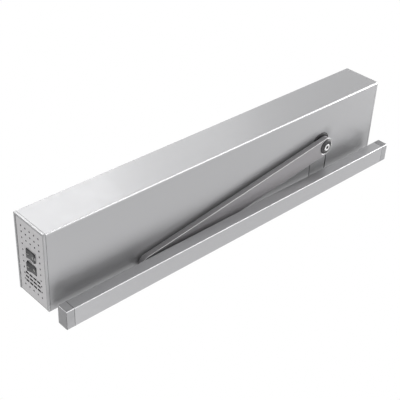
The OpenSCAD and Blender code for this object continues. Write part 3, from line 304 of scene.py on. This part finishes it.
def finish_of(node, face, low, high):
    """Which finish a face of a skin has: plain, a painted highlight on a rounded edge, or painted
    shade in a seam, gap or hole.
    """
    normal, middle = face.normal, face.calc_center_median()
    x, y, z = [abs(part) > TILTED for part in normal]
    ends, width = SEAMS.get(node, ("", 0))
    if ends in ("low", "both") and middle.x < low.x + width * MM:
        return DARK
    if ends in ("high", "both") and middle.x > high.x - width * MM:
        return DARK
    # The walls of the vent holes get painted shade
    if node == "vent_panel":
        wall = abs(normal.x) < WALL_TILT
        inset = HOLE_INSET * MM
        inside = all(low[k] + inset < middle[k] < high[k] - inset for k in (1, 2))
        return DARK if wall and inside else PLAIN
    # The rim's inner faces next to the panel get painted shade, its top edge a painted highlight
    if node == "left_end_cap":
        inset = min(middle.y - low.y, middle.z - low.z, high.z - middle.z)
        rim = inset > RIM_INSIDE * MM and middle.x < low.x + RIM_DEPTH * MM
        if rim and x and (y or z):
            return DARK
        return BRIGHT if x and y and not z else PLAIN
    # The rail caps get painted shade on their seam faces and a painted highlight on their rounded
    # edges
    if node in ("rail_cap_left", "rail_cap_right"):
        return DARK if x and z and not y else BRIGHT if x + y + z > 1 else PLAIN
    # The insert's ends and the cover's slot sides get painted shade as seams; the cover's front
    # edge gets a painted highlight
    if node == "slot_insert":
        return DARK if x else PLAIN
    if node == "cover":
        if x and middle.z < low.z + SLOT_SIDE * MM:
            return DARK
        return BRIGHT if y and z and middle.y < low.y + FRONT_EDGE * MM else PLAIN
    if node == "swing_arm":
        return BRIGHT if z and (x or y) else PLAIN
    return BRIGHT if y and z else PLAIN


def break_edges(form, width):
    """Rounds the sharp edges of a form, for a width in mm."""
    bmesh.ops.dissolve_limit(form, angle_limit=FLAT_ANGLE, verts=form.verts, edges=form.edges)
    sharp = [edge for edge in form.edges
             if len(edge.link_faces) == 2 and edge.calc_face_angle() > EDGE_ANGLE]
    bmesh.ops.bevel(form, geom=sharp, offset=width * MM, segments=EDGE_SEGMENTS, profile=0.5,
                    affect="EDGES", clamp_overlap=True, miter_outer="ARC")


def skin(node, width):
    """Copy of a node with broken edges and finishes by face, which stands for the node."""
    source = frame["nodes"][node]
    slot = node_slots[node]
    mesh = source.data.copy()
    mesh.name = "skin_" + node
    piece = bpy.data.objects.new("skin_" + node, mesh)
    scene.collection.objects.link(piece)
    low, high = (Vector(corner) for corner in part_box(node))
    form = bmesh.new()
    form.from_mesh(mesh)
    bmesh.ops.remove_doubles(form, verts=form.verts, dist=WELD * MM)
    if width:
        break_edges(form, width)
    edge_finish = EDGE_FINISHES.get(slot)
    finishes = []
    for face in form.faces:
        face.smooth = True
        finishes.append(finish_of(node, face, low, high) if edge_finish else PLAIN)
    form.to_mesh(mesh)
    form.free()
    mesh.set_sharp_from_angle(angle=SHARP_ANGLE)
    weights = piece.modifiers.new("normals", "WEIGHTED_NORMAL")
    weights.keep_sharp = True
    mesh.materials.clear()
    mesh.materials.append(FACE_FINISHES.get(node, MATERIALS[slot]))
    # Second slot: the edge finish with its painted highlight; third slot: painted shade
    if edge_finish:
        mesh.materials.append(edge_finish)
        mesh.materials.append(PAINTED_SHADE_FINISH)
    for polygon, index in zip(mesh.polygons, finishes):
        polygon.material_index = index
    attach(piece, source["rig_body"])
    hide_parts(node)
    return piece


skins = {node: skin(node, width) for node, width in EDGES.items()}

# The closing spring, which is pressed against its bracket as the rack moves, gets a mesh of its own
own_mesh(skins["closing_spring"])


# The arm screw's hexagon socket is painted dark inside: painted shade in its recess
SOCKET_R = 3.3
SOCKET_FROM = 0.35
SOCKET_TO = 5.0


def darken_socket(piece, node):
    """Gives the inner faces of a screw's socket, which opens downwards, the black steel finish as
    painted shade.
    """
    low, high = (Vector(corner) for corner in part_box(node))
    middle = (low + high) / 2
    dark = len(piece.data.materials)
    piece.data.materials.append(MATERIALS["black_steel"])
    for face in piece.data.polygons:
        away = (face.center - middle).xy.length
        up = face.center.z - low.z
        if away < SOCKET_R * MM and SOCKET_FROM * MM < up < SOCKET_TO * MM:
            face.material_index = dark


darken_socket(skins["arm_screw"], "arm_screw")


# Generic marks on the rockers: a bar for on, two bars for open, a ring for off
MARK_PROUD = 0.06
MARK_DEPTH = 0.25
MARK_UP = 5.8
BAR_W = 0.8
BAR_L = 3.8
BAR_APART = 2.0
RING_R = 1.9
RING_STEPS = 32
RAY_START = 10


def circle(radius, up):
    """Points (y, z) of a circle whose middle lies at a height on a rocker."""
    turns = [2 * math.pi * step / RING_STEPS for step in range(RING_STEPS)]
    return [(radius * math.cos(a), up + radius * math.sin(a)) for a in turns]


def bar(side, up):
    """Corners (y, z) of an upright bar whose middle lies at a place on a rocker."""
    w, l = BAR_W / 2, BAR_L / 2
    return [(side - w, up - l), (side + w, up - l), (side + w, up + l), (side - w, up + l)]


def inlay(node, name, outer, inner=None):
    """Thin inlay that follows a rocker's face inside an outline and outside an inner one."""
    source = frame["nodes"][node]
    surface = BVHTree.FromPolygons([v.co for v in source.data.vertices],
                                   [tuple(p.vertices) for p in source.data.polygons])
    low, high = (Vector(corner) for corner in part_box(node))
    middle = (low + high) / 2
    form = bmesh.new()

    def loop(points, shift):
        made = []
        for y, z in points:
            start = Vector((low.x - RAY_START * MM, middle.y + y * MM, middle.z + z * MM))
            hit = surface.ray_cast(start, Vector((1, 0, 0)))[0]
            made.append(form.verts.new(hit + Vector((shift * MM, 0, 0))))
        return made

    def wall(first, second):
        for k in range(len(first)):
            n = (k + 1) % len(first)
            form.faces.new((first[k], first[n], second[n], second[k]))

    top = loop(outer, -MARK_PROUD)
    bottom = loop(outer, MARK_DEPTH)
    wall(top, bottom)
    if inner:
        inner_top = loop(inner, -MARK_PROUD)
        inner_bottom = loop(inner, MARK_DEPTH)
        wall(inner_bottom, inner_top)
        wall(inner_top, top)
        wall(bottom, inner_bottom)
    else:
        form.faces.new(top)
        form.faces.new(bottom[::-1])
    bmesh.ops.recalc_face_normals(form, faces=form.faces)
    mesh = bpy.data.meshes.new(name)
    form.to_mesh(mesh)
    form.free()
    piece = bpy.data.objects.new(name, mesh)
    scene.collection.objects.link(piece)
    paint(piece, "light_plastic")
    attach(piece, source["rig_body"])


inlay("program_rocker", "program_mark_on", bar(0, MARK_UP))
inlay("program_rocker", "program_mark_open_a", bar(-BAR_APART / 2, -MARK_UP))
inlay("program_rocker", "program_mark_open_b", bar(BAR_APART / 2, -MARK_UP))
inlay("mains_rocker", "mains_mark_on", bar(0, MARK_UP))
inlay("mains_rocker", "mains_mark_off", circle(RING_R, -MARK_UP), circle(RING_R - BAR_W, -MARK_UP))


def turned(side, up, back, place):
    """Matrix of an object at a place whose own axes point to the side, up and back."""
    return Matrix((
        (side.x, up.x, back.x, place[0]),
        (side.y, up.y, back.y, place[1]),
        (side.z, up.z, back.z, place[2]),
        (0, 0, 0, 1),
    ))


# Camera at the photograph's viewing angle
CAMERA_PLACE = Vector((-838.9, -827.2, -829.95)) * MM
CAMERA_RIGHT = Vector((0.73585, -0.0394, -0.676)).normalized()
CAMERA_BACK = Vector((-0.57352, -0.567, -0.59125)).normalized()
FOCAL_MM = 81.227
SENSOR_MM = 36.0
CLIP_START = 0.05
CLIP_END = 300
camera_data = bpy.data.cameras.new("camera")
camera_data.lens = FOCAL_MM
camera_data.sensor_width = SENSOR_MM
camera_data.clip_start = CLIP_START
camera_data.clip_end = CLIP_END
camera = bpy.data.objects.new("camera", camera_data)
scene.collection.objects.link(camera)
camera_up = CAMERA_BACK.cross(CAMERA_RIGHT).normalized()
camera.matrix_world = turned(camera_up.cross(CAMERA_BACK), camera_up, CAMERA_BACK, CAMERA_PLACE)
scene.camera = camera


# Studio: white surroundings for the camera and for gloss, soft lamps, and a pale floor well below
WORLD_LIGHT = 0.25
FLOOR_Z = -3.0
FLOOR_SIZE = 240
FLOOR_COLOUR = (0.86, 0.86, 0.86)
FLOOR_ROUGHNESS = 0.8
FLOOR_CLOUDS = 3
FLOOR_CHANGE = 0.01
FLOOR_WHITE = 0.75


def glow(tree, kind, surface, camera_share, output):
    """Shows white for a surface to glossy and transmission rays, and in part to the camera."""
    rays = tree.nodes.new("ShaderNodeLightPath").outputs
    share = reckon(tree, "MULTIPLY", rays["Is Camera Ray"], camera_share)
    for ray in ("Is Glossy Ray", "Is Transmission Ray"):
        share = reckon(tree, "MAXIMUM", share, rays[ray])
    white = tree.nodes.new(kind)
    white.inputs["Color"].default_value = WHITE
    white.inputs["Strength"].default_value = 1.0
    mix = tree.nodes.new("ShaderNodeMixShader")
    tree.links.new(share, mix.inputs["Fac"])
    tree.links.new(surface, mix.inputs[1])
    tree.links.new(white.outputs[0], mix.inputs[2])
    tree.links.new(mix.outputs["Shader"], output.inputs["Surface"])


world = bpy.data.worlds.new("studio")
scene.world = world
world.use_nodes = True
sky = world.node_tree
sky.nodes.clear()
sky_output = sky.nodes.new("ShaderNodeOutputWorld")
dim = sky.nodes.new("ShaderNodeBackground")
dim.inputs["Color"].default_value = WHITE
dim.inputs["Strength"].default_value = WORLD_LIGHT
glow(sky, "ShaderNodeBackground", dim.outputs["Background"], 1.0, sky_output)

# Area lamps that face one point: place, size, power, and the direction that the width lies along
LAMP_TARGET = Vector((0, -0.065, 0))
ALONG_X = (1, 0, 0)
LAMPS = {
    "left_lamp": ((0.19, -0.9, 0.82), (0.5, 0.5), 2.3, ALONG_X),
    "wide_lamp": ((-0.15, -1.05, 0.95), (0.8, 0.8), 2.2, ALONG_X),
    "middle_lamp": ((0.576, -0.77, 0.76), (0.5, 0.5), 0.8, ALONG_X),
    "low_lamp": ((-0.55, 0.82, -1.1), (0.7, 0.7), 13.2, ALONG_X),
    "right_lamp": ((1.5, -0.1, -0.7), (0.8, 0.8), 10.5, ALONG_X),
    "edge_lamp": ((0.97, -1.17, -0.91), (1.2, 0.3), 4.2, (0.80, 0.45, 0.38)),
    "front_lamp": ((-0.9, -1.5, 0.1), (1.2, 1.0), 4, ALONG_X),
    "rim_lamp": ((-1.12, -0.95, 0.81), (0.4, 0.4), 2.8, ALONG_X),
}
for lamp_name, (place, size, power, along) in LAMPS.items():
    lamp_data = bpy.data.lights.new(lamp_name, "AREA")
    lamp_data.shape = "RECTANGLE"
    lamp_data.size, lamp_data.size_y = size
    lamp_data.energy = power
    lamp = bpy.data.objects.new(lamp_name, lamp_data)
    scene.collection.objects.link(lamp)
    back = (Vector(place) - LAMP_TARGET).normalized()
    up = back.cross(Vector(along)).normalized()
    lamp.matrix_world = turned(up.cross(back), up, back, place)

floor_form = bmesh.new()
bmesh.ops.create_grid(floor_form, x_segments=1, y_segments=1, size=FLOOR_SIZE / 2)
floor_mesh = bpy.data.meshes.new("floor")
floor_form.to_mesh(floor_mesh)
floor_form.free()
floor = bpy.data.objects.new("floor", floor_mesh)
floor.location = (0, 0, FLOOR_Z)
scene.collection.objects.link(floor)
floor_material, floor_tree, floor_bsdf = shader("floor", FLOOR_COLOUR, FLOOR_ROUGHNESS)
floor_tree.links.new(shade(floor_tree, noise(floor_tree, FLOOR_CLOUDS), FLOOR_COLOUR, FLOOR_CHANGE),
                     floor_bsdf.inputs["Base Color"])
glow(floor_tree, "ShaderNodeEmission", floor_bsdf.outputs["BSDF"], FLOOR_WHITE,
     floor_tree.nodes["Material Output"])
floor_mesh.materials.append(floor_material)

scene.view_settings.view_transform = "Standard"
